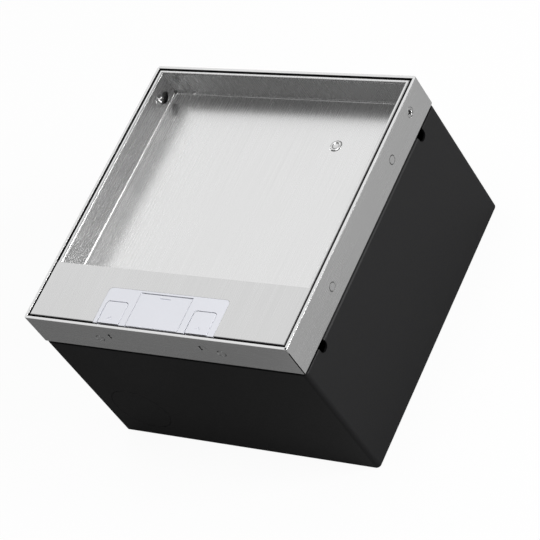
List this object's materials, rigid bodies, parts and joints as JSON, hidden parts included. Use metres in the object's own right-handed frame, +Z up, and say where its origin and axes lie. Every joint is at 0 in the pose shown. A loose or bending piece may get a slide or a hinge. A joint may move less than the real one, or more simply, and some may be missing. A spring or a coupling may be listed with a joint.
{
  "type": "floor socket box",
  "caption": "Square flush floor box: steel tray lid for a floor inlay on slotted hinge pins, plate with cable flaps and lift handle, trim frame, black back box with power and data outlets.",
  "frame": {"origin": "centre of the back box's underside", "axes": "+X right seen from the cable outlets, +Y towards the hinge side, +Z up through the lid"},
  "size_m": [0.2, 0.2, 0.13],
  "materials": {
    "black_coat": "fine textured black powder coat",
    "grey_coat": "grey powder coat",
    "zinc_steel": "bright zinc plated",
    "brass": "bare brass",
    "stainless": "brushed stainless sheet",
    "stainless_turned": "turned stainless",
    "seal_rubber": "closed-cell black rubber",
    "pale_plastic": "satin pale grey",
    "white_plastic": "satin white",
    "grey_plastic": "satin grey",
    "black_plastic": "satin black"
  },
  "bodies": {
    "back_box": {"back_box": "black_coat", "blank_cover": "white_plastic", "box_earth_nuts": "brass", "box_earth_stud": "brass", "carrier_screws": "zinc_steel", "carrier_stands": "zinc_steel", "compartment_divider": "zinc_steel", "data_contacts": "brass", "data_cover_centre": "white_plastic", "data_cover_left": "white_plastic", "data_jacks": "black_plastic", "flange_inserts": "zinc_steel", "knockout_discs": "black_coat", "module_carrier": "grey_coat", "shutter_springs": "zinc_steel", "socket_contacts": "brass", "socket_cover_centre": "white_plastic", "socket_cover_left": "white_plastic", "socket_cover_right": "white_plastic", "socket_earth_clips": "zinc_steel", "socket_housing_centre": "grey_plastic", "socket_housing_left": "grey_plastic", "socket_housing_right": "grey_plastic", "socket_terminal_screws": "zinc_steel"},
    "frame": {"trim_frame": "stainless", "frame_rivets": "stainless", "lid_rest": "stainless", "rest_seal": "seal_rubber", "frame_gasket": "seal_rubber", "levelling_screws": "zinc_steel"},
    "hinge_pins": {"hinge_barrels": "stainless_turned", "hinge_screws": "stainless_turned"},
    "lid": {"lid_tray": "stainless", "lid_strip": "stainless", "lid_stiffeners": "zinc_steel", "lid_earth_stud": "stainless_turned", "lid_earth_nut": "brass", "outlet_plate": "pale_plastic", "outlet_screws": "zinc_steel", "flap_pins": "stainless_turned", "handle_pin": "stainless_turned"},
    "cable_flap_left": {"cable_flap_left": "pale_plastic"},
    "cable_flap_right": {"cable_flap_right": "pale_plastic"},
    "lift_handle": {"lift_handle": "pale_plastic"},
    "socket_shutter_left": {"socket_shutter_left": "grey_plastic"},
    "socket_shutter_centre": {"socket_shutter_centre": "grey_plastic"},
    "socket_shutter_right": {"socket_shutter_right": "grey_plastic"}
  },
  "joints": [
    {"name": "frame_rise", "type": "slide", "parent": "back_box", "child": "frame", "axis": [0, 0, 1], "range_m": [0, 0.008]},
    {"name": "lid_hinge", "type": "hinge", "parent": "frame", "child": "hinge_pins", "pos_m": [0, 0.0793, 0.1208], "axis": [-1, 0, 0], "range_deg": [0, 95]},
    {"name": "lid_slide", "type": "slide", "parent": "hinge_pins", "child": "lid", "axis": [0, -0.7826, 0.6225], "range_m": [0, 0.0075]},
    {"name": "cable_flap_left_lift", "type": "hinge", "parent": "lid", "child": "cable_flap_left", "pos_m": [-0.03445, -0.0817, 0.1291], "axis": [-1, 0, 0], "range_deg": [0, 65]},
    {"name": "cable_flap_right_lift", "type": "hinge", "parent": "lid", "child": "cable_flap_right", "pos_m": [0.03265, -0.0817, 0.1291], "axis": [-1, 0, 0], "range_deg": [0, 65]},
    {"name": "handle_lift", "type": "hinge", "parent": "lid", "child": "lift_handle", "pos_m": [-0.0009, -0.0959, 0.1291], "axis": [1, 0, 0], "range_deg": [0, 90]},
    {"name": "shutter_left_slide", "type": "slide", "parent": "back_box", "child": "socket_shutter_left", "axis": [0, 1, 0], "range_m": [0, 0.006], "stiffness_N_per_m": 120, "springref_m": -0.002},
    {"name": "shutter_centre_slide", "type": "slide", "parent": "back_box", "child": "socket_shutter_centre", "axis": [0, 1, 0], "range_m": [0, 0.006], "stiffness_N_per_m": 120, "springref_m": -0.002},
    {"name": "shutter_right_slide", "type": "slide", "parent": "back_box", "child": "socket_shutter_right", "axis": [0, 1, 0], "range_m": [0, 0.006], "stiffness_N_per_m": 120, "springref_m": -0.002}
  ],
  "couplings": [
    {"joint": "lid_slide", "follows": "lid_hinge", "m_per_rad": 0.0045229}
  ]
}
